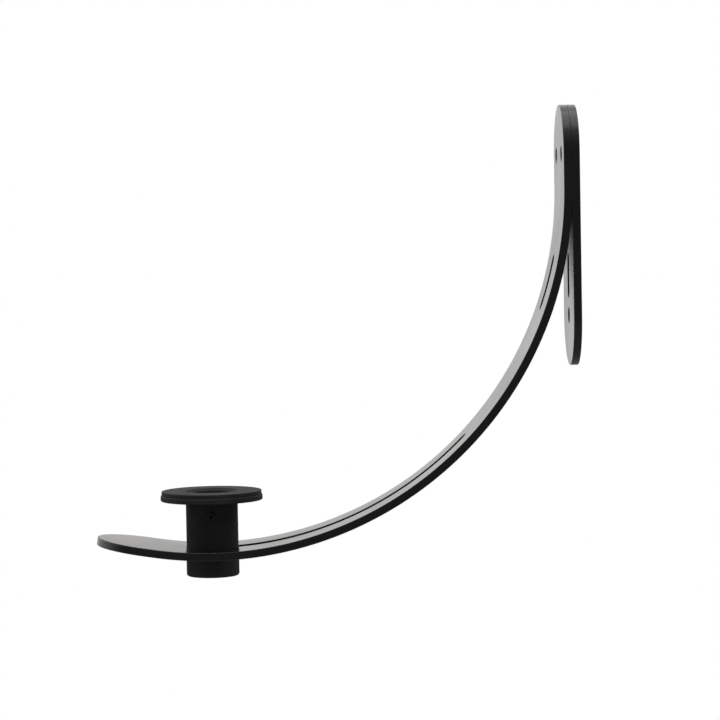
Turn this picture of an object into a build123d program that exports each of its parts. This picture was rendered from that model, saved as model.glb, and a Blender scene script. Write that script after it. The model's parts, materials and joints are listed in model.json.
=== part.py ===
"""Wall sconce candle holder.

A flat bar is bent into one long sweep. Its top is screwed to a short wall plate of the same bar, and near its
tip it carries a small tube cup for a candle, with a flange and a loose drip ring on top of it.

Frame: millimetres, +Z up. The wall is the plane Y = 0, the room is towards -Y, and the origin is the middle of
the wall plate's back face.
"""

import os
from math import asin, cos, degrees, radians, sin

from build123d import *

# ---- Driving dimensions ---------------------------------------------------------------------------------------

# Flat bar, for the wall plate and for the arm.
bar_width = 50.0
bar_thickness = 4.0
edge_round = 0.4  # tumbled edges of the cut bar

# Wall plate.
plate_length = 130.0
wall_hole_diameter = 8.0
wall_hole_from_end = 25.0  # from the plate's lower end to the hole's centre
wall_slot_width = 8.0
wall_slot_length = 22.5  # end to end
wall_slot_from_end = 45.0  # from the plate's lower end to the slot's centre

# Arm: a straight top, one bend that is level under the cup and runs on past it, and a straight tip.
arm_top_straight = 41.5
bend_radius = 178.5  # at the middle of the bar's thickness
tip_rise = 9.0  # degrees that the bend runs on past the cup
tip_straight = 30.0
access_slot_width = 8.0
access_slot_length = 29.0  # end to end along the bend
access_slot_below = 4.0  # its centre is this far below the wall slot's centre
long_slot_start = 45.0  # degrees of bend at the upper end's centre; the other end's centre is the cup's axis

# Countersunk screws that hold the arm to the plate.
arm_screw_spacing = 24.5
arm_screw_from_top = 25.0
screw_thread_diameter = 4.0
screw_head_diameter = 7.5
screw_length = 7.0  # over all
screw_hole_clearance = 0.25  # on the radius, in the arm
screw_recess = 0.45  # from the arm's face down to the head's
countersink_angle = 90.0
screw_socket_across_flats = 2.5
screw_socket_depth = 1.3

# Candle cup: a tube with a flange round its mouth and a plug in its foot.
tube_diameter = 26.0
tube_wall = 1.5
cup_depth = 22.0  # from the tube's mouth to the plug
flange_diameter = 51.0
flange_thickness = 3.0
flange_top_round = 0.9
flange_bottom_round = 0.6
tube_in_flange = 1.0  # how far the tube stands up into the flange's hole
plug_thickness = 3.0
plug_step = 0.4  # the foot of the tube is bored out by this much on the radius, so the plug meets a shoulder
stud_diameter = 8.0
stud_length = 10.8
stud_clearance = 0.25  # on the radius, in the end of the arm's long slot
stud_end_chamfer = 0.6
foot_chamfer = 0.25

# Flat seats milled in the bent bar, above and below it, for the cup's foot and the base nut.
seat_clearance = 0.4  # on the radius
seat_depth = 0.2  # below the bar's lowest line on top
under_seat_depth = 0.6  # above the bar's lowest line underneath

# Base nut under the arm.
nut_diameter = 26.4
nut_height = 10.6
nut_bottom_round = 1.2
nut_top_chamfer = 0.3
nut_floor = 2.4

# Drip ring: a loose disc on the flange with a short collar in the mouth of the cup.
ring_diameter = 50.0
ring_thickness = 1.8
ring_edge_round = 0.3
ring_mouth_chamfer = 1.4
collar_wall = 1.25
collar_length = 1.8
running_clearance = 0.05  # on the radius, between pieces that move on each other

# Grub screw in the side of the cup that grips the candle.
clamp_screw_diameter = 4.0
clamp_screw_length = 3.0
clamp_screw_below_flange = 7.2  # from the flange's underside to the screw's axis
clamp_screw_stand_off = 0.05  # from the tip of the backed-out screw to the bore
clamp_screw_tip_chamfer = 0.4
clamp_socket_across_flats = 2.0
clamp_socket_depth = 1.5

# ---- Places worked out from them ------------------------------------------------------------------------------

end_radius = bar_width / 2
half_bar = bar_thickness / 2
bar_top = plate_length / 2
plate_front = -bar_thickness
arm_front = plate_front - bar_thickness
arm_middle = plate_front - half_bar
bend_start = bar_top - arm_top_straight
cup_y = arm_middle - bend_radius  # the bend's centre and the cup's axis are both here
bend_lowest = bend_start - bend_radius  # middle of the bar under the cup

long_slot_width = stud_diameter + 2 * stud_clearance
screw_hole_diameter = screw_thread_diameter + 2 * screw_hole_clearance
countersink_diameter = screw_head_diameter + 2 * screw_recess  # 45 degree side: depth equals radius
screw_face = arm_front + screw_recess

wall_hole_z = -bar_top + wall_hole_from_end
wall_slot_z = -bar_top + wall_slot_from_end
arm_screw_z = bar_top - arm_screw_from_top

tube_radius = tube_diameter / 2
bore_radius = tube_radius - tube_wall
plug_radius = bore_radius + plug_step
seat_z = bend_lowest + half_bar - seat_depth
under_seat_z = bend_lowest - half_bar + under_seat_depth
cup_floor = seat_z + plug_thickness
tube_top = cup_floor + cup_depth
flange_bottom = tube_top - tube_in_flange
flange_top = flange_bottom + flange_thickness
ring_top = flange_top + ring_thickness
stud_bottom = seat_z - stud_length
nut_bottom = under_seat_z - nut_height
clamp_screw_z = flange_bottom - clamp_screw_below_flange

cup_axis = Axis((0, cup_y, 0), (0, 0, 1))
cup_section = Plane.XZ.offset(-cup_y)  # vertical plane through the cup's axis: across, up


def bend_plane(angle):
    """Plane square to the bar's faces, on its middle, at an angle round the bend: X across, normal outwards."""
    turn = radians(angle)
    outward = (0, cos(turn), -sin(turn))
    origin = (0, cup_y + bend_radius * cos(turn), bend_start - bend_radius * sin(turn))
    return Plane(origin=origin, x_dir=(1, 0, 0), z_dir=outward)


def bend_angle(z):
    """Angle round the bend, in degrees, at which the middle of the bar is at this height."""
    return degrees(asin((bend_start - z) / bend_radius))


def cut_bend_slot(width, start, stop):
    """Cut a round-ended slot along the bend, in the part being built, between two end centres in degrees."""
    near = bend_radius - bar_thickness
    far = bend_radius + bar_thickness
    with BuildSketch(Plane.YZ) as sector:
        with BuildLine():
            inner = CenterArc((cup_y, bend_start), near, -start, start - stop)
            outer = CenterArc((cup_y, bend_start), far, -start, start - stop)
            Line(inner @ 0, outer @ 0)
            Line(inner @ 1, outer @ 1)
        make_face()
    extrude(sector.sketch, amount=width / 2, both=True, mode=Mode.SUBTRACT)
    for angle in (start, stop):
        with BuildSketch(bend_plane(angle)) as end:
            Circle(width / 2)
        extrude(end.sketch, amount=bar_thickness, both=True, mode=Mode.SUBTRACT)


def round_end(plane):
    """Round off the end of the part being built: the plane's origin is the end radius's centre, +Y the end."""
    with BuildSketch(plane) as waste:
        Rectangle(bar_width + 2, end_radius + 1, align=(Align.CENTER, Align.MIN))
        Circle(end_radius, mode=Mode.SUBTRACT)
    extrude(waste.sketch, amount=bar_thickness, both=True, mode=Mode.SUBTRACT)


# ---- Wall plate -----------------------------------------------------------------------------------------------

with BuildPart() as back_plate:
    with BuildSketch(Plane.XZ):
        SlotOverall(plate_length, bar_width, rotation=90)
    extrude(amount=bar_thickness)
    fillet(back_plate.faces().filter_by(Axis.Y).edges(), edge_round)
    with BuildSketch(Plane.XZ):
        with Locations((0, wall_hole_z)):
            Circle(wall_hole_diameter / 2)
        with Locations((0, wall_slot_z)):
            SlotOverall(wall_slot_length, wall_slot_width, rotation=90)
        with Locations((0, arm_screw_z)):
            with GridLocations(arm_screw_spacing, 0, 2, 1):
                Circle(screw_thread_diameter / 2)
    extrude(amount=bar_thickness, mode=Mode.SUBTRACT)

# ---- Arm ------------------------------------------------------------------------------------------------------

with BuildPart() as arm:
    with BuildSketch(Plane.YZ):
        with BuildLine():
            faces = []
            for radius in (bend_radius - half_bar, bend_radius + half_bar):
                bend = CenterArc((cup_y, bend_start), radius, 0, -90 - tip_rise)
                faces.append((
                    Line((cup_y + radius, bar_top), bend @ 0),
                    Line(bend @ 1, bend @ 1 + (bend % 1) * tip_straight),
                ))
            (front_top, front_tip), (back_top, back_tip) = faces
            Line(front_top @ 0, back_top @ 0)
            Line(front_tip @ 1, back_tip @ 1)
        make_face()
    extrude(amount=bar_width / 2, both=True)
    round_end(Plane(origin=(0, arm_middle, bar_top - end_radius), x_dir=(1, 0, 0), z_dir=(0, -1, 0)))
    bend_end = bend_plane(90 + tip_rise)
    tip_centre = bend_end.origin + bend_end.y_dir * (tip_straight - end_radius)
    round_end(Plane(origin=tip_centre, x_dir=bend_end.x_dir, z_dir=bend_end.z_dir))
    rims = arm.edges().filter_by(lambda edge: edge.center().X ** 2 > 1.0 or edge.length > 2 * end_radius)
    fillet(rims, edge_round)

    # Screw holes, countersunk from the front.
    with Locations(Plane(origin=(0, arm_front, arm_screw_z), x_dir=(1, 0, 0), z_dir=(0, -1, 0))):
        with GridLocations(arm_screw_spacing, 0, 2, 1):
            CounterSinkHole(
                screw_hole_diameter / 2,
                countersink_diameter / 2,
                depth=bar_thickness,
                counter_sink_angle=countersink_angle,
            )

    # Slots: a short one in front of the wall plate's slot, and a long one that ends round the cup's stud.
    access_middle = bend_angle(wall_slot_z - access_slot_below)
    access_half = degrees((access_slot_length - access_slot_width) / 2 / bend_radius)
    cut_bend_slot(access_slot_width, access_middle - access_half, access_middle + access_half)
    cut_bend_slot(long_slot_width, long_slot_start, 90)

    # Flat seats above and below the bar at the cup.
    with BuildSketch(Plane.XY.offset(seat_z)):
        with Locations((0, cup_y)):
            Circle(tube_radius + seat_clearance)
    extrude(amount=bar_thickness, mode=Mode.SUBTRACT)
    with BuildSketch(Plane.XY.offset(under_seat_z)):
        with Locations((0, cup_y)):
            Circle(nut_diameter / 2 + seat_clearance)
    extrude(amount=-bar_thickness, mode=Mode.SUBTRACT)

# ---- Arm screws -----------------------------------------------------------------------------------------------


def arm_screw(side):
    """Countersunk socket screw through the arm into the plate, on the left (-1) or the right (+1)."""
    x = side * arm_screw_spacing / 2
    head_height = (screw_head_diameter - screw_thread_diameter) / 2
    with BuildPart() as screw:
        with BuildSketch(Plane.XY):
            with BuildLine():
                Polyline(
                    (x, screw_face),
                    (x + screw_head_diameter / 2, screw_face),
                    (x + screw_thread_diameter / 2, screw_face + head_height),
                    (x + screw_thread_diameter / 2, screw_face + screw_length),
                    (x, screw_face + screw_length),
                    close=True,
                )
            make_face()
        revolve(axis=Axis((x, 0, 0), (0, 1, 0)))
        with BuildSketch(Plane(origin=(x, screw_face, 0), x_dir=(1, 0, 0), z_dir=(0, 1, 0))):
            RegularPolygon(screw_socket_across_flats / 2, 6, major_radius=False)
        extrude(amount=screw_socket_depth, mode=Mode.SUBTRACT)
    return screw.part.moved(Location((0, 0, arm_screw_z)))


# ---- Candle cup -----------------------------------------------------------------------------------------------

with BuildPart() as cup_tube:
    with BuildSketch(cup_section):
        with Locations((bore_radius, seat_z)):
            Rectangle(tube_wall, tube_top - seat_z, align=(Align.MIN, Align.MIN))
    revolve(axis=cup_axis)
    foot_edge = cup_tube.edges().group_by(Axis.Z)[0].sort_by(SortBy.RADIUS)[-1]
    chamfer(foot_edge, foot_chamfer)
    with BuildSketch(Plane.XY.offset(seat_z)):
        with Locations((0, cup_y)):
            Circle(plug_radius)
    extrude(amount=plug_thickness, mode=Mode.SUBTRACT)
    with BuildSketch(Plane.YZ):
        with Locations((cup_y, clamp_screw_z)):
            Circle(clamp_screw_diameter / 2 + running_clearance)
    extrude(amount=tube_diameter, mode=Mode.SUBTRACT)

with BuildPart() as cup_flange:
    with BuildSketch(cup_section):
        with Locations((tube_radius, flange_bottom)):
            Rectangle(flange_diameter / 2 - tube_radius, flange_thickness, align=(Align.MIN, Align.MIN))
    revolve(axis=cup_axis)
    circles = cup_flange.edges().filter_by(GeomType.CIRCLE)
    fillet(circles.group_by(SortBy.RADIUS)[-1].sort_by(Axis.Z)[-1], flange_top_round)
    circles = cup_flange.edges().filter_by(GeomType.CIRCLE)
    fillet(circles.group_by(Axis.Z)[0].sort_by(SortBy.RADIUS)[-1], flange_bottom_round)

with BuildPart() as cup_plug:
    with BuildSketch(Plane.XY.offset(seat_z)):
        with Locations((0, cup_y)):
            Circle(plug_radius)
    extrude(amount=plug_thickness)
    with BuildSketch(Plane.XY.offset(seat_z)):
        with Locations((0, cup_y)):
            Circle(stud_diameter / 2)
    extrude(amount=-stud_length)
    chamfer(cup_plug.edges().group_by(Axis.Z)[0], stud_end_chamfer)

# ---- Base nut -------------------------------------------------------------------------------------------------

with BuildPart() as base_nut:
    with BuildSketch(Plane.XY.offset(nut_bottom)):
        with Locations((0, cup_y)):
            Circle(nut_diameter / 2)
    extrude(amount=nut_height)
    fillet(base_nut.edges().group_by(Axis.Z)[0], nut_bottom_round)
    chamfer(base_nut.edges().group_by(Axis.Z)[-1], nut_top_chamfer)
    with BuildSketch(Plane.XY.offset(under_seat_z)):
        with Locations((0, cup_y)):
            Circle(stud_diameter / 2)
    extrude(amount=nut_floor - nut_height, mode=Mode.SUBTRACT)

# ---- Drip ring ------------------------------------------------------------------------------------------------

collar_radius = tube_radius - running_clearance
ring_bore_radius = collar_radius - collar_wall

with BuildPart() as drip_ring:
    with BuildSketch(cup_section):
        with Locations((ring_bore_radius, flange_top)):
            Rectangle(ring_diameter / 2 - ring_bore_radius, ring_thickness, align=(Align.MIN, Align.MIN))
        with Locations((ring_bore_radius, flange_top - collar_length)):
            Rectangle(collar_wall, collar_length, align=(Align.MIN, Align.MIN))
    revolve(axis=cup_axis)
    chamfer(drip_ring.edges().group_by(Axis.Z)[-1].sort_by(SortBy.RADIUS)[0], ring_mouth_chamfer)
    circles = drip_ring.edges().filter_by(GeomType.CIRCLE)
    fillet(circles.group_by(SortBy.RADIUS)[-1], ring_edge_round)

# ---- Clamp screw ----------------------------------------------------------------------------------------------

clamp_tip = bore_radius + clamp_screw_stand_off
clamp_axis_plane = Plane(origin=(clamp_tip, cup_y, clamp_screw_z), x_dir=(0, 1, 0), z_dir=(1, 0, 0))

with BuildPart() as clamp_screw:
    with BuildSketch(clamp_axis_plane):
        Circle(clamp_screw_diameter / 2)
    extrude(amount=clamp_screw_length)
    chamfer(clamp_screw.edges().group_by(Axis.X)[0], clamp_screw_tip_chamfer)
    with BuildSketch(clamp_axis_plane.offset(clamp_screw_length)):
        RegularPolygon(clamp_socket_across_flats / 2, 6, major_radius=False)
    extrude(amount=-clamp_socket_depth, mode=Mode.SUBTRACT)

# ---- Files ----------------------------------------------------------------------------------------------------

pieces = {
    "back_plate": back_plate.part,
    "arm": arm.part,
    "arm_screw_left": arm_screw(-1),
    "arm_screw_right": arm_screw(1),
    "cup_tube": cup_tube.part,
    "cup_flange": cup_flange.part,
    "cup_plug": cup_plug.part,
    "base_nut": base_nut.part,
    "drip_ring": drip_ring.part,
    "clamp_screw": clamp_screw.part,
}

os.makedirs("parts", exist_ok=True)
for name, piece in pieces.items():
    piece.label = name
    export_step(piece, f"parts/{name}.step")
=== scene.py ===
"""Wall sconce candle holder: the looks of the object, built round the fixed CAD frame."""

import json
import math

import bmesh
import bpy
import numpy as np
from bpy.props import FloatProperty, FloatVectorProperty, PointerProperty
from bpy.types import Operator, Panel, PropertyGroup
from mathutils import Matrix, Vector


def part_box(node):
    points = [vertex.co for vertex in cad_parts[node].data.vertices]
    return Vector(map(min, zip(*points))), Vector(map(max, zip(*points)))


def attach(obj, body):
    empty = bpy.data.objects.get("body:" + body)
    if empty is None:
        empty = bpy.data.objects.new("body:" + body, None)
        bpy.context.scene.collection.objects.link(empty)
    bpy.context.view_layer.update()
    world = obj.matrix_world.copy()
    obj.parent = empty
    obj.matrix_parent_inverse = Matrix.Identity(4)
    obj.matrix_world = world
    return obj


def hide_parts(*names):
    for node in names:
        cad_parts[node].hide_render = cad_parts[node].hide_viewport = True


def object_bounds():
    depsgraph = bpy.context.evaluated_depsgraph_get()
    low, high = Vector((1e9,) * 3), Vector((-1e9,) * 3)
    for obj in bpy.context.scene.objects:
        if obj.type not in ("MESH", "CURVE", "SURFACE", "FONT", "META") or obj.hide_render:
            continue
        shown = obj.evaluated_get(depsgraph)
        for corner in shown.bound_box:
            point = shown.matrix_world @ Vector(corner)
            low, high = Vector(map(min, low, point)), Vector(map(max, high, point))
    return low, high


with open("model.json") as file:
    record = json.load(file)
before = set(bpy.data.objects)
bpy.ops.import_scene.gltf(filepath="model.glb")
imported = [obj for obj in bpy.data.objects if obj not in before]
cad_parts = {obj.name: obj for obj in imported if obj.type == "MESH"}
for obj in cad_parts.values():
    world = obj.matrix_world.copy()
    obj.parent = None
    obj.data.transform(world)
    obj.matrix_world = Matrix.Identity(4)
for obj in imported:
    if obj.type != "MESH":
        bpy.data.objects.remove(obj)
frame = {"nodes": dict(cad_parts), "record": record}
CAD_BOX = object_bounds()
RECORD = frame["record"]
MOUNTS = {mount["name"]: mount for mount in RECORD["mounts"]}

bl_info = {
    "name": "Wall sconce candle holder",
    "version": (1, 0, 0),
    "blender": (4, 5, 0),
    "location": "3D View > Sidebar > Sconce",
    "description": "Builds a bent flat-bar wall sconce with a tube cup and a loose drip ring",
    "category": "Add Mesh",
}

# ---- Places taken from the frame -----------------------------------------------------------------

PLATE_LOW, PLATE_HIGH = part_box("back_plate")
ARM_LOW, ARM_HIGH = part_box("arm")
BAR_WIDTH = PLATE_HIGH.x - PLATE_LOW.x
BAR_THICKNESS = PLATE_HIGH.y - PLATE_LOW.y
ARM_MIDDLE_Y = ARM_HIGH.y - BAR_THICKNESS / 2
CUP_Y = MOUNTS["candle_bore"]["pos_m"][1]
BEND_RADIUS = ARM_MIDDLE_Y - CUP_Y
BEND_START_Z = ARM_LOW.z + BAR_THICKNESS / 2 + BEND_RADIUS
ARM_TOP_STRAIGHT = ARM_HIGH.z - BEND_START_Z


# ---- Shader maths --------------------------------------------------------------------------------


class Net:
    """A socket of a node tree that reads as a number in Python expressions."""

    def __init__(self, tree, socket):
        self.tree = tree
        self.socket = socket

    def node(self, kind, settings=None, output=0, **inputs):
        """Add a node of a kind: its settings first, then values or links for its sockets.

        A socket goes by its name, with _ for a space, or by its number as in0, in1 and so on.
        """
        made = self.tree.nodes.new(kind)
        for key, value in (settings or {}).items():
            setattr(made, key, value)
        for key, value in inputs.items():
            where = made.inputs[int(key[2:])] if key[:2] == "in" and key[2:].isdigit() else None
            if where is None:
                where = made.inputs[key.replace("_", " ")]
            if isinstance(value, Net):
                self.tree.links.new(value.socket, where)
            else:
                where.default_value = value
        return Net(self.tree, made.outputs[output])

    def maths(self, operation, *values, clamp=False):
        """Add a Math node on some values."""
        inputs = {f"in{i}": value for i, value in enumerate(values)}
        return self.node("ShaderNodeMath", {"operation": operation, "use_clamp": clamp}, **inputs)

    def __add__(self, other):
        return self.maths("ADD", self, other)

    def __radd__(self, other):
        return self.maths("ADD", other, self)

    def __sub__(self, other):
        return self.maths("SUBTRACT", self, other)

    def __rsub__(self, other):
        return self.maths("SUBTRACT", other, self)

    def __mul__(self, other):
        return self.maths("MULTIPLY", self, other)

    def __rmul__(self, other):
        return self.maths("MULTIPLY", other, self)

    def clamp(self):
        """This number kept between 0 and 1."""
        return self.maths("ADD", self, 0.0, clamp=True)

    def step(self, low, high):
        """0 below low and 1 above high, smooth between."""
        return self.node(
            "ShaderNodeMapRange",
            {"interpolation_type": "SMOOTHSTEP"},
            Value=self,
            From_Min=low,
            From_Max=high,
        )


def mix(fac, a, b):
    """Colour a where fac is 0 and colour b where it is 1."""
    return fac.node("ShaderNodeMix", {"data_type": "RGBA"}, output=2, in0=fac, in6=a, in7=b)


def begin_material(name):
    """A new material, its Principled node, and a net on Object coordinates."""
    material = bpy.data.materials.new(name)
    material.use_nodes = True
    tree = material.node_tree
    shader = tree.nodes["Principled BSDF"]
    place = tree.nodes.new("ShaderNodeTexCoord")
    return material, shader, Net(tree, place.outputs["Object"])


def feed(shader, name, net):
    """Link a number or colour to a named socket of the shader."""
    net.tree.links.new(net.socket, shader.inputs[name])


def noise(place, scale, detail=2.0, rough=0.5):
    """Cloudy pattern from 0 to 1 with scale blobs a metre."""
    return place.node("ShaderNodeTexNoise", Vector=place, Scale=scale, Detail=detail, Roughness=rough)


def rgba(colour, lighter=1.0):
    """A colour setting as the four numbers of a socket, made lighter by a factor."""
    return (*(channel * lighter for channel in colour), 1.0)


def lacquer(finish):
    """Gloss black lacquer on flat bar: orange peel, dust nibs, drawn lines, wipe marks, worn edges."""
    material, shader, place = begin_material("lacquered_bar")
    smudge = noise(place, 22.0, 3.0)
    peel = noise(place, 520.0, 2.0)
    grain = noise(place, 2400.0, 1.0)
    nib = place.node("ShaderNodeTexVoronoi", {"feature": "F1"}, Vector=place, Scale=190.0)
    nib = 1.0 - nib.step(0.03, 0.08)
    drawn = place.node("ShaderNodeMapping", Vector=place, Scale=(36.0, 1.0, 1.0))
    line = noise(drawn, 70.0, 3.0, 0.6)
    gap = place.node("ShaderNodeAttribute", {"attribute_name": "edge_gap"}, output=2)
    edge = gap.step(0.00002, 0.0001) * (1.0 - gap.step(0.0002, 0.0006))
    wear = edge * noise(place, 330.0, 4.0, 0.7).step(0.48, 0.64)
    fine = noise(place, 900.0, 3.0, 0.7).step(0.62, 0.70) * smudge.step(0.45, 0.65)
    colour = mix(smudge, rgba(finish.lacquer_colour), rgba(finish.lacquer_colour, 1.6))
    colour = mix(fine * 0.35, colour, rgba(finish.wear_colour))
    colour = mix(wear, colour, rgba(finish.wear_colour))
    feed(shader, "Base Color", colour)
    rough = finish.lacquer_roughness + (smudge - 0.5) * 0.16 + (line - 0.5) * 0.12 + wear * 0.2 + fine * 0.06
    feed(shader, "Roughness", rough)
    height = peel + grain * 0.15 + nib * 0.5 + line * 0.25
    bump = place.node("ShaderNodeBump", Strength=0.5, Distance=0.00004, Height=height)
    feed(shader, "Normal", bump)
    shader.inputs["IOR"].default_value = 1.5
    return material


def powder_coat(finish):
    """Fine matt powder coat on the turned pieces: a close grain, a little uneven in its sheen."""
    material, shader, place = begin_material("cup_black")
    grain = noise(place, 1500.0, 2.0, 0.6)
    cloud = noise(place, 60.0, 3.0)
    speck = noise(place, 4200.0, 0.0)
    pale = noise(place, 1300.0, 1.0).step(0.66, 0.74)
    colour = mix(
        (cloud * 0.5 + grain * 0.5).step(0.3, 0.7),
        rgba(finish.cup_colour),
        rgba(finish.cup_colour, 1.9),
    )
    colour = mix(pale * 0.4, colour, rgba(finish.cup_colour, 3.0))
    feed(shader, "Base Color", colour)
    feed(shader, "Roughness", finish.cup_roughness + (cloud - 0.5) * 0.16 + (speck - 0.5) * 0.1)
    bump = place.node("ShaderNodeBump", Strength=0.7, Distance=0.00012, Height=grain + speck * 0.3)
    feed(shader, "Normal", bump)
    shader.inputs["IOR"].default_value = 1.17
    return material


def black_oxide(finish):
    """Blackened steel of the screws: oily dark metal, blotched, with a fine turned grain."""
    material, shader, place = begin_material("black_oxide")
    blotch = noise(place, 700.0, 3.0)
    scratch = noise(place, 3800.0, 2.0, 0.7)
    colour = mix(blotch.step(0.3, 0.7), rgba(finish.oxide_colour), rgba(finish.oxide_colour, 2.2))
    feed(shader, "Base Color", colour)
    feed(shader, "Roughness", finish.oxide_roughness + (scratch - 0.5) * 0.25)
    shader.inputs["IOR"].default_value = 1.4
    bump = place.node("ShaderNodeBump", Strength=0.4, Distance=0.00002, Height=scratch)
    feed(shader, "Normal", bump)
    return material


MAKERS = {"lacquered_bar": lacquer, "cup_black": powder_coat, "black_oxide": black_oxide}


def finish_of(slot):
    """The material of a record slot, made once."""
    name = f"{slot}_finish"
    if name not in bpy.data.materials:
        material = MAKERS[slot](bpy.context.scene.sconce_finish)
        material.name = name
    return bpy.data.materials[name]


def dress(node, slot):
    """Give a CAD node its finish."""
    data = frame["nodes"][node].data
    data.materials.clear()
    data.materials.append(finish_of(slot))


# ---- Surfaces ------------------------------------------------------------------------------------

MM = 0.001  # sizes below are metres until a surface is worked out, and millimetres in it
BAR_HALF = BAR_THICKNESS / 2 / MM
FACE_INSET = 0.8  # mm from an opening's edge to where its rim meets the flat face
FACE_STEP = 4.0  # mm between places along the bar
OUTLINE_STATIONS = 28  # places round each end of the outline
OPENING_STATIONS = 12  # places round each end of an opening
NEAR = 2e-3  # mm within which two places are the same
FINE_EDGE = 0.1  # mm, round of an edge or corner that no hand reaches
SOFT_EDGE = 0.15  # mm, round of a small turned edge that a hand can reach
MOUTH_EDGE = 0.2  # mm, round at each end of the ring's chamfer
CREASE = math.radians(28)  # faces that meet at less than this are smooth
SCREW_BREAK = 0.05  # mm, slope round an arm screw's head
THREAD_RUNOUT = 0.65  # mm from an arm screw's thread to its head
DRILL_POINT = 0.4  # mm, cone at the foot of an arm screw's socket
CLAMP_DRILL_POINT = 0.3  # mm, the same in the clamp screw
CLAMP_END_CHAMFER = 0.2  # mm, slope round the clamp screw's socket end


def in_mm(*lengths):
    """Lengths in metres as millimetres."""
    return [length / MM for length in lengths] if len(lengths) > 1 else lengths[0] / MM


def soften(corners, rounds, closed=False, steps=5):
    """Points and outward normals along a line of corners, each turned into an arc of its own round.

    Between the unit normals a and b of its two runs, a corner's arc has its centre at
    corner - round (a + b) / (1 + a.b), and a point at centre + round n, where n swings from a to b.
    A hollow corner has the signs the other way. The line runs anticlockwise round the solid.
    """
    corners = np.asarray(corners, float)
    rounds = np.asarray(rounds, float)[:, None, None]
    leave = np.roll(corners, -1, axis=0) - corners
    arrive = np.roll(leave, 1, axis=0)
    if not closed:
        leave[-1] = arrive[-1]
        arrive[0] = leave[0]
    a, b = (
        np.stack([run[:, 1], -run[:, 0]], 1) / np.linalg.norm(run, axis=1)[:, None] for run in (arrive, leave)
    )
    dot = (a * b).sum(1)
    cross = a[:, 0] * b[:, 1] - a[:, 1] * b[:, 0]
    swing = np.arctan2(cross, dot)[:, None] * np.linspace(0, 1, steps + 1)
    turn, tilt = np.cos(swing), np.sin(swing)
    normal = np.stack([
        a[:, :1] * turn - a[:, 1:] * tilt,
        a[:, :1] * tilt + a[:, 1:] * turn,
    ], 2)
    sign = np.where(cross < 0, -1.0, 1.0)[:, None, None]
    centre = corners[:, None] - sign * rounds * ((a + b) / (1 + dot)[:, None])[:, None]
    points = (centre + sign * rounds * normal).reshape(-1, 2)
    normal = normal.reshape(-1, 2)
    if closed:
        points, normal = np.append(points, points[:1], 0), np.append(normal, normal[:1], 0)
    keep = np.append(True, np.linalg.norm(np.diff(points, axis=0), axis=1) > 1e-9)
    return points[keep], normal[keep]


def grid_faces(rows, columns, start=0):
    """Corner numbers of the four-sided faces of a grid of points."""
    number = start + np.arange(rows * columns).reshape(rows, columns)
    return np.stack([number[:-1, :-1], number[1:, :-1], number[1:, 1:], number[:-1, 1:]], 2).reshape(-1, 4)


def weave(name, patches, body, slot, stands_for, sharp=None):
    """Join grids of points into one closed mesh with the normals of the true surface.

    patches holds (points, normals, gap) with points and normals of shape (rows, columns, 3); gap is how far a
    point lies from the nearest edge of its face, for wear along edges. With sharp set, the faces' own normals
    are smoothed up to that angle instead.
    """
    points = np.concatenate([p.reshape(-1, 3) for p, n, g in patches])
    normals = np.concatenate([n.reshape(-1, 3) for p, n, g in patches])
    gaps = np.concatenate([np.broadcast_to(g, p.shape[:2]).reshape(-1) for p, n, g in patches])
    faces, start = [], 0
    for patch, _, _ in patches:
        faces.append(grid_faces(*patch.shape[:2], start))
        start += patch.shape[0] * patch.shape[1]
    mesh = bpy.data.meshes.new(name)
    mesh.from_pydata(points, [], np.concatenate(faces).tolist())
    lie = mesh.attributes.new("lie", "FLOAT_VECTOR", "POINT")
    lie.data.foreach_set("vector", normals.astype(np.float32).ravel())
    gap = mesh.attributes.new("edge_gap", "FLOAT", "POINT")
    gap.data.foreach_set("value", gaps.astype(np.float32))

    work = bmesh.new()
    work.from_mesh(mesh)
    bmesh.ops.remove_doubles(work, verts=work.verts, dist=2e-6)
    bmesh.ops.dissolve_degenerate(work, edges=work.edges, dist=1e-7)
    bmesh.ops.delete(work, geom=[edge for edge in work.edges if not edge.link_faces], context="EDGES")
    bmesh.ops.recalc_face_normals(work, faces=work.faces)
    loose = [edge for edge in work.edges if len(edge.link_faces) != 2]
    if loose:
        raise RuntimeError(f"{name} has {len(loose)} edges that aren't closed")
    for face in work.faces:
        face.smooth = True
    work.to_mesh(mesh)
    work.free()

    normals = np.empty(len(mesh.vertices) * 3, np.float32)
    mesh.attributes["lie"].data.foreach_get("vector", normals)
    mesh.attributes.remove(mesh.attributes["lie"])
    if sharp is None:
        mesh.normals_split_custom_set_from_vertices(normals.reshape(-1, 3))
    else:
        mesh.set_sharp_from_angle(angle=sharp)
    mesh.materials.append(finish_of(slot))
    piece = bpy.data.objects.new(name, mesh)
    bpy.context.scene.collection.objects.link(piece)
    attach(piece, body)
    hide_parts(*stands_for)
    return piece


def turned(corners, rounds, y, segments=160, steps=5):
    """Patch of a turned piece: the outline (radius, z) in mm swung round the upright axis at y.

    An outline that starts and ends on the axis is open, any other is closed.
    A point is (r sin a, y - r cos a, z) for the angle a and the outline's radius r and height z.
    """
    outline, lie = soften(corners, rounds, closed=corners[0][0] > 0, steps=steps)
    outline = outline * MM
    angle = np.linspace(0, 2 * np.pi, segments + 1)[:, None]
    across, along = np.sin(angle), -np.cos(angle)
    level = np.ones_like(angle)
    points = np.stack([outline[:, 0] * across, y + outline[:, 0] * along, outline[:, 1] * level], 2)
    normals = np.stack([lie[:, 0] * across, lie[:, 0] * along, lie[:, 1] * level], 2)
    return points, normals, 1.0


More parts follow.
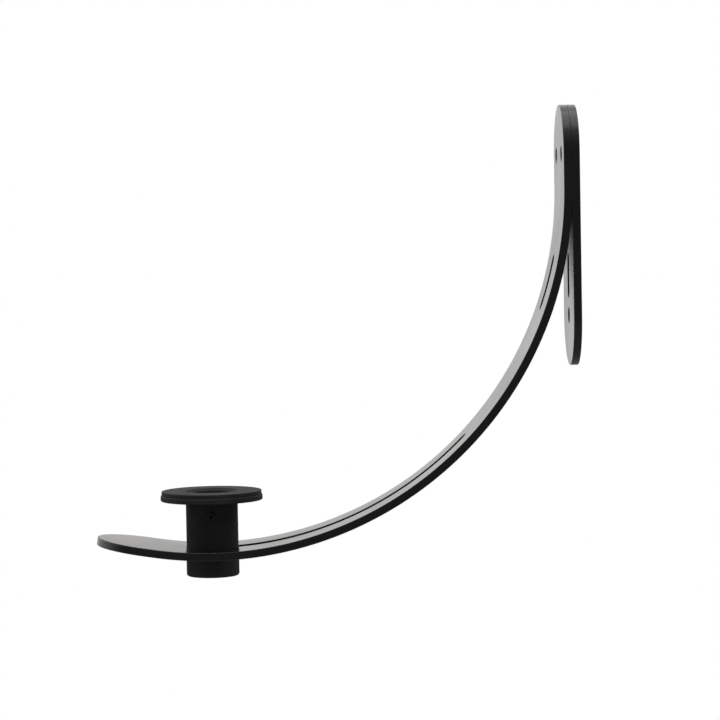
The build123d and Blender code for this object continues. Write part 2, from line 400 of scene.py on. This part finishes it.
def socket_screw(name, node, body, axis, corners, thread, segments=96):
    """Socket screw in the box of its CAD node: an outline swung round its axis.

    The outline's corners are (radius, distance from the tip) in mm, and the last three are the socket's
    mouth, foot and middle. In the socket the radius is half the width across flats over cos b, b being the
    angle from the middle of the nearest flat. Up to the thread's end the radius is at most major - depth t,
    where t runs 0, 1, 0 once a pitch and moves on by a pitch in a turn.
    """
    low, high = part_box(node)
    axis = np.array(axis, float)
    tip = np.where(axis > 0, low, np.where(axis < 0, high, (low + high) / 2))
    corners = np.round(corners, 4)  # settings are 32-bit numbers, whose last digits are noise
    path = np.append(0, np.cumsum(np.linalg.norm(np.diff(corners, axis=0), axis=1)))
    place = np.unique(np.round(np.concatenate([path, np.arange(0, path[-1], 0.1)]), 5))
    six_sided = np.append(np.zeros(len(corners) - 3), np.ones(3))
    radius, reach, six = (np.interp(place, path, values) for values in (*corners.T, six_sided))

    angle = np.linspace(0, 2 * np.pi, segments + 1)[:, None]
    hexagon = 1 / np.cos(angle % (np.pi / 3) - np.pi / 6)
    major, pitch, depth, end = thread
    end = round(end, 4)
    cut = 1 - np.abs(2 * ((reach / pitch - angle / (2 * np.pi)) % 1) - 1)
    threaded = np.minimum(radius, major - depth * cut)
    radius = np.where((six == 0) & (reach <= end), threaded, radius * (1 + six * (hexagon - 1)))
    side = np.roll(axis, 1)
    up = np.cross(axis, side)
    around = (np.cos(angle) * side + np.sin(angle) * up)[:, None]
    points = tip + (reach[:, None] * axis + radius[..., None] * around) * MM
    weave(name, [(points, np.zeros_like(points), MM)], body, "black_oxide", [node], sharp=CREASE)


class Cutout:
    """A round-ended opening or outline in flat bar, in mm: its end centres along the bar, radius and rim.

    Its rim is a line of corners (outwards from the metal, through the bar) from the back face to the front
    one, and starts and ends on those faces at FACE_INSET from the edge.
    """

    def __init__(self, low, high, radius, offset=0.0, rim=None, rounds=None, outer=False):
        sizes = bpy.context.scene.sconce_sizes
        self.low, self.high, self.radius, self.offset = low, high, radius, offset
        self.sign = 1.0 if outer else -1.0
        edge = in_mm(sizes.bar_edge_round if outer else sizes.opening_edge_round)
        half = BAR_HALF
        self.rim = rim or [(-FACE_INSET, -half), (0, -half), (0, half), (-FACE_INSET, half)]
        self.rounds = rounds or [0, edge, edge, 0]
        self.face_radius = radius - self.sign * FACE_INSET

    def stations(self, count):
        """Places along the bar that put points evenly round the two ends."""
        swing = np.linspace(0, np.pi / 2, count + 1)
        return np.concatenate([
            self.low - self.face_radius * np.cos(swing), self.high + self.face_radius * np.cos(swing)
        ])

    def within(self, u):
        """The places among u that the opening spans, its round ends included."""
        reach = self.face_radius + NEAR
        return u[(u >= self.low - reach) & (u <= self.high + reach)]

    def half_width(self, u):
        """Half the face edge's width at places u: sqrt(r^2 - d^2), d being how far u is past a centre."""
        beyond = np.abs(u - np.clip(u, self.low, self.high))
        beyond = np.where(np.abs(beyond - self.face_radius) < NEAR, self.face_radius, beyond)
        return np.sqrt(np.clip(self.face_radius**2 - beyond**2, 0, None))


def bar(name, length, lay, outline, slots, hole, seats):
    """Flat bar with round ends, slots on its middle line and a pair of screw holes, laid along its path.

    Flat places are u along the bar, v across and w through it, in mm. Each face is a grid between break lines
    v = b0(u) to b4(u): slot edge, seat edge, near and far edge of the screw hole, outline. Each rim is a
    profile (d, w) carried along its outline: the point is the nearest point c of the outline's middle line,
    plus (radius + d) times the unit vector away from c. A seat is (side, height, half width at u, places u),
    and what it lowers is cut off level at its height.
    """
    openings = [*slots, hole]
    u = np.concatenate(
        [np.arange(0, length, FACE_STEP)]
        + [outline.stations(OUTLINE_STATIONS)]
        + [opening.stations(OPENING_STATIONS) for opening in openings]
        + [seat[3] for seat in seats]
    )
    u = outline.within(np.unique(np.round(u, 3)))
    flats = []

    zero = np.zeros_like(u)
    slot_edge = np.max([zero] + [opening.half_width(u) for opening in slots], axis=0)
    edge = outline.half_width(u)
    for side in (1, -1):
        seat_edge, is_seat = slot_edge, zero > 0
        for seat_side, _, seat_width, _ in seats:
            if seat_side == side:
                is_seat = seat_width(u) > slot_edge + 1e-6
                seat_edge = np.where(is_seat, seat_width(u), slot_edge)
        lines = [slot_edge, seat_edge, np.maximum(seat_edge, hole.offset - hole.half_width(u))]
        lines += [np.maximum(lines[2], hole.offset + hole.half_width(u)), edge]
        lines = [np.minimum(line, edge) for line in lines]
        for first, last, count, sink in ((0, 1, 6, True), (1, 2, 4, False), (3, 4, 5, False)):
            part = np.linspace(0, 1, count + 1)
            v = lines[first][:, None] * (1 - part) + lines[last][:, None] * part
            for across in (1, -1):
                rows = np.broadcast_to(u[:, None], v.shape)
                flat = np.stack([rows, across * v, np.full_like(v, side * BAR_HALF)], 2)
                lie = np.broadcast_to((0.0, 0.0, float(side)), flat.shape)
                low = np.broadcast_to((is_seat & sink)[:, None], v.shape) * side
                flats.append((flat, lie, low, MM))
        if is_seat.any():
            rows = np.stack([u, u], 1)
            for across in (1, -1):
                v = np.stack([seat_edge, seat_edge], 1)
                flat = np.stack([rows, across * v, np.full_like(v, side * BAR_HALF)], 2)
                lie = np.broadcast_to((0.0, 0.0, float(side)), flat.shape)
                low = np.stack([is_seat * side, np.zeros_like(is_seat) * side], 1)
                keep = is_seat | np.roll(is_seat, 1) | np.roll(is_seat, -1)
                flats.append((flat[keep], lie[keep], low[keep], MM))

    for opening in [outline] + openings:
        profile, turn = soften(opening.rim, opening.rounds)
        mine = opening.within(u)
        skeleton = np.clip(mine, opening.low, opening.high)
        half = opening.half_width(mine)
        reach = opening.radius + opening.sign * profile[:, 0]
        for across in (1, -1):
            away = np.stack([mine - skeleton, across * half], 1)
            away /= np.linalg.norm(away, axis=1)[:, None]
            for offset in {opening.offset, -opening.offset}:
                flat = np.stack([
                    skeleton[:, None] + away[:, :1] * reach,
                    offset + away[:, 1:] * reach,
                    np.broadcast_to(profile[:, 1], (len(mine), len(profile))),
                ], 2)
                lie = np.stack([
                    opening.sign * away[:, :1] * turn[:, 0],
                    opening.sign * away[:, 1:] * turn[:, 0],
                    np.broadcast_to(turn[:, 1], (len(mine), len(profile))),
                ], 2)
                low = np.zeros(flat.shape[:2])
                for seat_side, _, seat_width, _ in seats:
                    if opening is slots[-1]:
                        seated = (seat_width(mine) > half + 1e-6)[:, None]
                        low = np.where(seated & (np.sign(profile[:, 1]) == seat_side), seat_side, low)
                flats.append((flat, lie, low, -profile[:, 0] * MM))

    patches = []
    for flat, lie, low, gap in flats:
        points, frame_u, frame_w = lay(flat[..., 0] * MM, flat[..., 1] * MM, flat[..., 2] * MM)
        for seat_side, height, _, _ in seats:
            sunken = (low == seat_side) & ((points[..., 2] - height) * seat_side > 0)
            points[..., 2] = np.where(sunken, height, points[..., 2])
        normals = lie[..., :1] * frame_u + lie[..., 2:] * frame_w
        normals[..., 0] += lie[..., 1]
        patches.append((points, normals, gap))
    return weave(name, patches, "sconce", "lacquered_bar", [name.removesuffix("_bar")])


def down_the_wall(u, v, w):
    """Path of the wall plate: straight down, w towards the room."""
    middle = PLATE_HIGH.y - BAR_THICKNESS / 2
    points = np.stack([v, middle - w, PLATE_HIGH.z - u], -1)
    return points, np.array((0.0, 0.0, -1.0)), np.array((0.0, -1.0, 0.0))


def down_the_arm(u, v, w):
    """Path of the arm: straight down, round the bend by h = (u - straight) / radius, then straight on.

    Along the path the middle is at (y, z) = (middle - R (1 - cos h), start - R sin h), and w points to the
    bend's centre, in the direction (-cos h, sin h).
    """
    tip_rise = bpy.context.scene.sconce_sizes.tip_rise
    turn = np.clip((u - ARM_TOP_STRAIGHT) / BEND_RADIUS, 0, math.pi / 2 + tip_rise)
    over = u - ARM_TOP_STRAIGHT - turn * BEND_RADIUS
    y = ARM_MIDDLE_Y - BEND_RADIUS * (1 - np.cos(turn)) - over * np.sin(turn) - w * np.cos(turn)
    z = BEND_START_Z - BEND_RADIUS * np.sin(turn) - over * np.cos(turn) + w * np.sin(turn)
    flat = np.zeros_like(turn)
    frame_u = np.stack([flat, -np.sin(turn), -np.cos(turn)], -1)
    frame_w = np.stack([flat, -np.cos(turn), np.sin(turn)], -1)
    return np.stack([v, y, z], -1), frame_u, frame_w


# ---- Settings ------------------------------------------------------------------------------------


def length_setting(name, description, default):
    """A length in metres that a user can change."""
    return FloatProperty(
        name=name, description=description, default=default,
        min=0.0, unit="LENGTH", subtype="DISTANCE", precision=5,
    )


class SconceSizes(PropertyGroup):
    bar_edge_round: length_setting("Bar edge round", "Round along the outside of the bar", 0.0004)
    opening_edge_round: length_setting("Opening edge round", "Round along the bar's slots and holes", 0.00015)
    wall_opening_width: length_setting("Wall opening width", "Width of the plate's hole and slot", 0.008)
    wall_hole_up: length_setting("Wall hole height", "From the plate's lower end to the round hole", 0.025)
    wall_slot_up: length_setting("Wall slot height", "From the plate's lower end to the slot's middle", 0.045)
    wall_slot_length: length_setting("Wall slot length", "End to end", 0.0225)
    screw_spacing: length_setting("Arm screw spacing", "Between the two arm screws", 0.0245)
    screw_down: length_setting("Arm screw drop", "From the bar's top to the arm screws", 0.025)
    screw_thread: length_setting("Screw thread", "Thread diameter of the screws", 0.004)
    screw_hole: length_setting("Screw hole", "Diameter of the arm's screw holes", 0.0045)
    countersink: length_setting("Countersink", "Diameter of the countersinks", 0.0084)
    tip_rise: FloatProperty(
        name="Tip rise", description="How far the bend runs on past the cup",
        default=math.radians(9.0), subtype="ANGLE",
    )
    tip_straight: length_setting("Tip length", "Straight end of the arm", 0.030)
    access_slot_width: length_setting("Access slot width", "Slot in front of the wall slot", 0.008)
    access_slot_length: length_setting("Access slot length", "End to end along the bend", 0.029)
    access_slot_down: length_setting("Access slot drop", "Below the plate's middle", 0.024)
    long_slot_width: length_setting("Long slot width", "Slot that holds the cup's stud", 0.0085)
    long_slot_start: FloatProperty(
        name="Long slot start", description="Place round the bend where the long slot begins",
        default=math.radians(45.0), subtype="ANGLE",
    )
    seat_clearance: length_setting("Seat clearance", "Round the cup and nut in their milled seats", 0.0004)
    flange_top_round: length_setting("Flange top round", "Round of the flange's upper edge", 0.0009)
    flange_bottom_round: length_setting("Flange bottom round", "Round of the flange's lower edge", 0.0006)
    nut_bottom_round: length_setting("Nut bottom round", "Round of the base nut's lower edge", 0.0012)
    nut_top_round: length_setting("Nut top round", "Round of the base nut's upper edge", 0.0003)
    nut_floor: length_setting("Nut floor", "Metal under the base nut's thread", 0.0024)
    stud_diameter: length_setting("Stud", "Diameter of the cup's stud", 0.008)
    ring_edge_round: length_setting("Ring edge round", "Round of the drip ring's outer edges", 0.0003)
    ring_mouth_chamfer: length_setting("Ring mouth chamfer", "Slope round the ring's hole", 0.0014)
    collar_clearance: length_setting("Collar clearance", "Between the ring's collar and the flange", 0.00005)
    collar_wall: length_setting("Collar wall", "Wall of the ring's collar", 0.00125)
    thread_pitch: length_setting("Thread pitch", "Pitch of the screws' threads", 0.0007)
    thread_depth: length_setting("Thread depth", "Depth of the screws' threads", 0.0004)
    screw_tip: length_setting("Screw tip chamfer", "Slope at the tip of each screw", 0.0004)
    arm_screw_head: length_setting("Arm screw head", "Diameter of the arm screws' heads", 0.0075)
    arm_screw_socket: length_setting("Arm screw socket", "Across the flats", 0.0025)
    arm_screw_socket_depth: length_setting("Arm screw socket depth", "From the head's face", 0.0013)
    clamp_socket: length_setting("Clamp screw socket", "Across the flats", 0.002)
    clamp_socket_depth: length_setting("Clamp screw socket depth", "From the screw's end", 0.0015)


class SconceFinish(PropertyGroup):
    lacquer_colour: FloatVectorProperty(
        name="Lacquer", description="Colour of the bar's lacquer", subtype="COLOR",
        size=3, min=0.0, max=1.0, default=(0.0085, 0.0082, 0.0082),
    )
    lacquer_roughness: FloatProperty(
        name="Lacquer roughness", description="How dull the bar's lacquer is",
        default=0.22, min=0.0, max=1.0, subtype="FACTOR",
    )
    wear_colour: FloatVectorProperty(
        name="Worn edge", description="Colour where the lacquer is rubbed thin on an edge",
        subtype="COLOR", size=3, min=0.0, max=1.0, default=(0.045, 0.042, 0.040),
    )
    cup_colour: FloatVectorProperty(
        name="Powder coat", description="Colour of the cup, ring and nut", subtype="COLOR",
        size=3, min=0.0, max=1.0, default=(0.0275, 0.0275, 0.0300),
    )
    cup_roughness: FloatProperty(
        name="Powder coat roughness", description="How dull the cup, ring and nut are",
        default=0.82, min=0.0, max=1.0, subtype="FACTOR",
    )
    oxide_colour: FloatVectorProperty(
        name="Screws", description="Colour of the blackened screws", subtype="COLOR",
        size=3, min=0.0, max=1.0, default=(0.010, 0.010, 0.011),
    )
    oxide_roughness: FloatProperty(
        name="Screw roughness", description="How dull the screws are",
        default=0.55, min=0.0, max=1.0, subtype="FACTOR",
    )


class SconceStage(PropertyGroup):
    camera_azimuth: FloatProperty(
        name="Camera azimuth", description="Where the camera stands round the object",
        default=math.radians(88.785), subtype="ANGLE",
    )
    camera_elevation: FloatProperty(
        name="Camera elevation", description="How far the camera looks down",
        default=math.radians(2.56), subtype="ANGLE",
    )
    camera_roll: FloatProperty(
        name="Camera roll", description="How far the camera is turned about its own axis",
        default=math.radians(-1.04), subtype="ANGLE",
    )
    camera_distance: FloatProperty(
        name="Camera distance", description="From the camera to the point it looks at",
        default=1.2958, unit="LENGTH",
    )
    camera_lens: FloatProperty(
        name="Lens", description="Focal length", default=129.58, unit="CAMERA",
    )
    aim_in: FloatProperty(
        name="Aim in front of the wall", description="Distance of the camera's aim from the wall",
        default=0.1090, unit="LENGTH",
    )
    aim_down: FloatProperty(
        name="Aim below the middle", description="How far below the plate's middle the camera aims",
        default=0.0605, unit="LENGTH",
    )
    floor_drop: FloatProperty(
        name="Floor below", description="Gap between the object's lowest point and the floor",
        default=1.6, unit="LENGTH",
    )


# ---- Operators -----------------------------------------------------------------------------------


class SCONCE_OT_plate(Operator):
    """Make the wall plate: flat bar with a round hole, an upright slot and two tapped holes."""

    bl_idname = "sconce.plate"
    bl_label = "Wall plate"

    def execute(self, context):
        sizes = context.scene.sconce_sizes
        length, radius = in_mm(PLATE_HIGH.z - PLATE_LOW.z, BAR_WIDTH / 2)
        outline = Cutout(radius, length - radius, radius, outer=True)
        opening = in_mm(sizes.wall_opening_width / 2)
        hole_at = length - in_mm(sizes.wall_hole_up)
        hole = Cutout(hole_at, hole_at, opening)
        slot_at = length - in_mm(sizes.wall_slot_up)
        slot_half = in_mm((sizes.wall_slot_length - sizes.wall_opening_width) / 2)
        slot = Cutout(slot_at - slot_half, slot_at + slot_half, opening)
        down, thread, offset = in_mm(sizes.screw_down, sizes.screw_thread / 2, sizes.screw_spacing / 2)
        tapped = Cutout(down, down, thread, offset=offset)
        bar("back_plate_bar", length, down_the_wall, outline, [hole, slot], tapped, [])
        return {"FINISHED"}


class SCONCE_OT_arm(Operator):
    """Make the arm: flat bar bent down and out, with two slots and two countersunk screw holes."""

    bl_idname = "sconce.arm"
    bl_label = "Arm"

    def execute(self, context):
        sizes = context.scene.sconce_sizes
        bend, straight, radius = in_mm(BEND_RADIUS, ARM_TOP_STRAIGHT, BAR_WIDTH / 2)
        length = straight + bend * (math.pi / 2 + sizes.tip_rise) + in_mm(sizes.tip_straight)
        outline = Cutout(radius, length - radius, radius, outer=True)
        under_cup = straight + bend * math.pi / 2

        access_at = straight + bend * math.asin((BEND_START_Z + sizes.access_slot_down) / BEND_RADIUS)
        access_half = in_mm((sizes.access_slot_length - sizes.access_slot_width) / 2)
        access = Cutout(access_at - access_half, access_at + access_half, in_mm(sizes.access_slot_width / 2))
        long_slot_start = straight + bend * sizes.long_slot_start
        long_slot = Cutout(long_slot_start, under_cup, in_mm(sizes.long_slot_width / 2))
        sink, hole, edge = in_mm(sizes.countersink / 2, sizes.screw_hole / 2, sizes.opening_edge_round)
        half = BAR_HALF
        wider = hole - sink
        rim = [(-FACE_INSET, -half), (-wider, -half), (-wider, half + wider), (0, half), (-FACE_INSET, half)]
        down, offset = in_mm(sizes.screw_down, sizes.screw_spacing / 2)
        screw = Cutout(down, down, sink, offset=offset, rim=rim, rounds=[0, edge, FINE_EDGE, edge, 0])

        def seat(side, height, reach):
            """Flat milled square to the cup's axis, edged by a circle round the axis.

            On a face of radius f its half width is sqrt(reach^2 - (f sin h)^2), at h round the bend from the
            axis.
            """
            face = bend - side * half
            swing = np.linspace(-np.pi / 2, np.pi / 2, 33)
            places = under_cup + bend * np.arcsin(reach * np.sin(swing) / face)

            def width(u):
                beyond = np.abs(face * np.sin((u - under_cup) / bend))
                beyond = np.where(np.abs(beyond - reach) < NEAR, reach, beyond)
                near = np.abs(u - under_cup) < 2 * reach
                return np.where(near, np.sqrt(np.clip(reach**2 - beyond**2, 0, None)), 0.0)

            return side, height, width, places

        tube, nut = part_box("cup_tube"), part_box("base_nut")
        top = seat(1, tube[0].z, in_mm(tube[1].x + sizes.seat_clearance))
        under = seat(-1, nut[1].z, in_mm(nut[1].x + sizes.seat_clearance))
        bar("arm_bar", length, down_the_arm, outline, [access, long_slot], screw, [top, under])
        return {"FINISHED"}


class SCONCE_OT_cup(Operator):
    """Make the cup: tube, plug, and the turned flange and base nut."""

    bl_idname = "sconce.cup"
    bl_label = "Cup"

    def execute(self, context):
        for node in ("cup_tube", "cup_plug"):
            dress(node, "cup_black")

        sizes = context.scene.sconce_sizes
        box_low, box_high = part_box("cup_flange")
        low, high, rim = in_mm(box_low.z, box_high.z, box_high.x)
        bore, bottom, top = in_mm(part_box("cup_tube")[1].x, sizes.flange_bottom_round, sizes.flange_top_round)
        corners = [(bore, low), (rim, low), (rim, high), (bore, high)]
        flange = turned(corners, [FINE_EDGE, bottom, top, SOFT_EDGE], CUP_Y, segments=192)
        weave("cup_flange_turned", [flange], "sconce", "cup_black", ["cup_flange"])

        box_low, box_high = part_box("base_nut")
        low, high, rim = in_mm(box_low.z, box_high.z, box_high.x)
        bottom, top, floor, stud = in_mm(
            sizes.nut_bottom_round, sizes.nut_top_round, sizes.nut_floor, sizes.stud_diameter / 2
        )
        nut = turned(
            [(0, low), (rim, low), (rim, high), (stud, high), (stud, low + floor), (0, low + floor)],
            [0, bottom, top, top, FINE_EDGE, 0], CUP_Y,
        )
        weave("base_nut_turned", [nut], "sconce", "cup_black", ["base_nut"])
        return {"FINISHED"}


class SCONCE_OT_ring(Operator):
    """Make the loose drip ring, with its collar and the chamfered mouth the candle passes."""

    bl_idname = "sconce.ring"
    bl_label = "Drip ring"

    def execute(self, context):
        sizes = context.scene.sconce_sizes
        box_low, box_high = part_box("drip_ring")
        foot, high, rim, low = in_mm(box_low.z, box_high.z, box_high.x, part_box("cup_flange")[1].z)
        collar = in_mm(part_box("cup_tube")[1].x - sizes.collar_clearance)
        bore = collar - in_mm(sizes.collar_wall)
        edge, mouth = in_mm(sizes.ring_edge_round, sizes.ring_mouth_chamfer)
        corners = [
            (collar, foot), (collar, low), (rim, low), (rim, high),
            (bore + mouth, high), (bore, high - mouth), (bore, foot),
        ]
        rounds = [SOFT_EDGE, FINE_EDGE / 2, edge, edge, MOUTH_EDGE, MOUTH_EDGE, SOFT_EDGE]
        ring = turned(corners, rounds, CUP_Y, segments=192)
        weave("drip_ring_turned", [ring], "drip_ring", "cup_black", ["drip_ring"])
        return {"FINISHED"}


class SCONCE_OT_screws(Operator):
    """Make the two countersunk arm screws and the grub screw in the side of the cup."""

    bl_idname = "sconce.screws"
    bl_label = "Screws"

    def execute(self, context):
        sizes = context.scene.sconce_sizes
        major, pitch, depth = in_mm(sizes.screw_thread / 2, sizes.thread_pitch, sizes.thread_depth)
        tip = in_mm(sizes.screw_tip)
        head, flat, deep = in_mm(
            sizes.arm_screw_head / 2, sizes.arm_screw_socket / 2, sizes.arm_screw_socket_depth
        )
        for side in ("left", "right"):
            node = f"arm_screw_{side}"
            low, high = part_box(node)
            length = in_mm(high.y - low.y)
            neck = length - (head - major)
            corners = [
                (0, 0), (major - tip, 0), (major, tip), (major, neck),
                (head - SCREW_BREAK, length - SCREW_BREAK), (head - 2 * SCREW_BREAK, length),
                (flat, length), (flat, length - deep), (0, length - deep - DRILL_POINT),
            ]
            thread = (major, pitch, depth, neck - THREAD_RUNOUT)
            socket_screw(f"{node}_threaded", node, "sconce", (0, -1, 0), corners, thread)

        flat, deep = in_mm(sizes.clamp_socket / 2, sizes.clamp_socket_depth)
        low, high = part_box("clamp_screw")
        length = in_mm(high.x - low.x)
        shoulder = length - CLAMP_END_CHAMFER
        corners = [
            (0, 0), (major - tip, 0), (major, tip), (major, shoulder), (major - CLAMP_END_CHAMFER, length),
            (flat, length), (flat, length - deep), (0, length - deep - CLAMP_DRILL_POINT),
        ]
        thread = (major, pitch, depth, shoulder)
        socket_screw("clamp_screw_threaded", "clamp_screw", "clamp_screw", (1, 0, 0), corners, thread)
        return {"FINISHED"}


def place_camera(stage, aim):
    """Camera at its distance from the aim, turned by azimuth, elevation and roll."""
    azimuth, elevation = stage.camera_azimuth, stage.camera_elevation
    back = Vector((
        math.sin(azimuth) * math.cos(elevation),
        -math.cos(azimuth) * math.cos(elevation),
        math.sin(elevation),
    ))
    camera = bpy.data.objects.new("camera", bpy.data.cameras.new("camera"))
    bpy.context.scene.collection.objects.link(camera)
    camera.data.lens = stage.camera_lens
    camera.data.sensor_width = 36.0
    camera.data.clip_end = 50.0
    turn = (-back).to_track_quat("-Z", "Y").to_matrix().to_4x4()
    roll = Matrix.Rotation(stage.camera_roll, 4, "Z")
    camera.matrix_world = Matrix.Translation(aim + back * stage.camera_distance) @ turn @ roll
    bpy.context.scene.camera = camera


def lay_floor(stage):
    """Plain pale floor, which looks white to the camera and throws back little light at the object."""
    height = CAD_BOX[0].z - stage.floor_drop
    reach = 6.0
    mesh = bpy.data.meshes.new("floor")
    corners = [(x * reach, y * reach, height) for x, y in ((-1, -1), (1, -1), (1, 1), (-1, 1))]
    mesh.from_pydata(corners, [], [(0, 1, 2, 3)])
    floor = bpy.data.objects.new("floor", mesh)
    bpy.context.scene.collection.objects.link(floor)

    material, shader, place = begin_material("pale_floor")
    tone = noise(place, 3.0, 3.0)
    feed(shader, "Base Color", mix(tone, (0.90, 0.90, 0.90, 1), (0.93, 0.93, 0.93, 1)))
    shader.inputs["Roughness"].default_value = 0.9
    shader.inputs["Emission Color"].default_value = (1, 1, 1, 1)
    shader.inputs["Emission Strength"].default_value = 0.4
    tree = material.node_tree
    dim = place.node("ShaderNodeBsdfDiffuse", Color=(0.3, 0.3, 0.3, 1))
    seen = place.node("ShaderNodeLightPath", output="Is Camera Ray")
    choose = place.node("ShaderNodeMixShader", in0=seen, in1=dim, in2=Net(tree, shader.outputs[0]))
    tree.links.new(choose.socket, tree.nodes["Material Output"].inputs["Surface"])
    mesh.materials.append(material)


def hang_lamps(aim):
    """Two large soft lamps, out of the camera's sight: one ahead and to the left, one overhead."""
    for name, spot, size, power in (
        ("key", (-0.6, -0.9, 1.6), 1.6, 14.0),
        ("top", (0.0, 0.2, 1.8), 1.8, 10.0),
    ):
        light = bpy.data.lights.new(name, "AREA")
        light.shape = "SQUARE"
        light.size = size
        light.energy = power
        lamp = bpy.data.objects.new(name, light)
        lamp.location = spot
        lamp.rotation_mode = "QUATERNION"
        lamp.rotation_quaternion = (aim - Vector(spot)).to_track_quat("-Z", "Y")
        lamp.visible_camera = False
        bpy.context.scene.collection.objects.link(lamp)


def surround():
    """White to the camera. What the object reflects is darker towards +X and brighter overhead."""
    world = bpy.data.worlds.new("studio")
    world.use_nodes = True
    bpy.context.scene.world = world
    tree = world.node_tree
    tree.nodes.clear()
    place = Net(tree, tree.nodes.new("ShaderNodeTexCoord").outputs["Generated"])
    across = place.node("ShaderNodeSeparateXYZ", output="X", in0=place)
    up = place.node("ShaderNodeSeparateXYZ", output="Z", in0=place)
    bright = 1.0 - across.step(-0.25, 0.65) * 0.85
    bright = (bright + up.step(0.35, 0.95) * 0.4).clamp()
    light = place.node("ShaderNodeBackground", Color=(1.0, 0.985, 0.975, 1), Strength=bright)
    plain = place.node("ShaderNodeBackground", Color=(1, 1, 1, 1), Strength=1.0)
    seen = place.node("ShaderNodeLightPath", output="Is Camera Ray")
    choose = place.node("ShaderNodeMixShader", in0=seen, in1=light, in2=plain)
    out = tree.nodes.new("ShaderNodeOutputWorld")
    tree.links.new(choose.socket, out.inputs["Surface"])


class SCONCE_OT_stage(Operator):
    """Set up the camera, the pale floor, the studio light and the white surroundings."""

    bl_idname = "sconce.stage"
    bl_label = "Stage"

    def execute(self, context):
        stage = context.scene.sconce_stage
        aim = Vector((0, -stage.aim_in, -stage.aim_down))
        place_camera(stage, aim)
        lay_floor(stage)
        hang_lamps(aim)
        surround()
        context.scene.view_settings.view_transform = "Standard"
        return {"FINISHED"}


class SCONCE_PT_sidebar(Panel):
    """Sidebar panel that lists the settings and the pieces."""

    bl_idname = "SCONCE_PT_sidebar"
    bl_label = "Wall sconce"
    bl_space_type = "VIEW_3D"
    bl_region_type = "UI"
    bl_category = "Sconce"

    def draw(self, context):
        scene = context.scene
        for settings in (scene.sconce_sizes, scene.sconce_finish, scene.sconce_stage):
            box = self.layout.box()
            for name in settings.__annotations__:
                box.prop(settings, name)
        for operator in OPERATORS:
            self.layout.operator(operator.bl_idname)


OPERATORS = (
    SCONCE_OT_plate, SCONCE_OT_arm, SCONCE_OT_cup, SCONCE_OT_ring, SCONCE_OT_screws, SCONCE_OT_stage,
)
CLASSES = (SconceSizes, SconceFinish, SconceStage, *OPERATORS, SCONCE_PT_sidebar)


def register():
    for cls in CLASSES:
        bpy.utils.register_class(cls)
    bpy.types.Scene.sconce_sizes = PointerProperty(type=SconceSizes)
    bpy.types.Scene.sconce_finish = PointerProperty(type=SconceFinish)
    bpy.types.Scene.sconce_stage = PointerProperty(type=SconceStage)


def unregister():
    del bpy.types.Scene.sconce_stage
    del bpy.types.Scene.sconce_finish
    del bpy.types.Scene.sconce_sizes
    for cls in reversed(CLASSES):
        bpy.utils.unregister_class(cls)


def main():
    register()
    for operator in OPERATORS:
        group, name = operator.bl_idname.split(".")
        getattr(getattr(bpy.ops, group), name)()


if __name__ == "__main__":
    main()
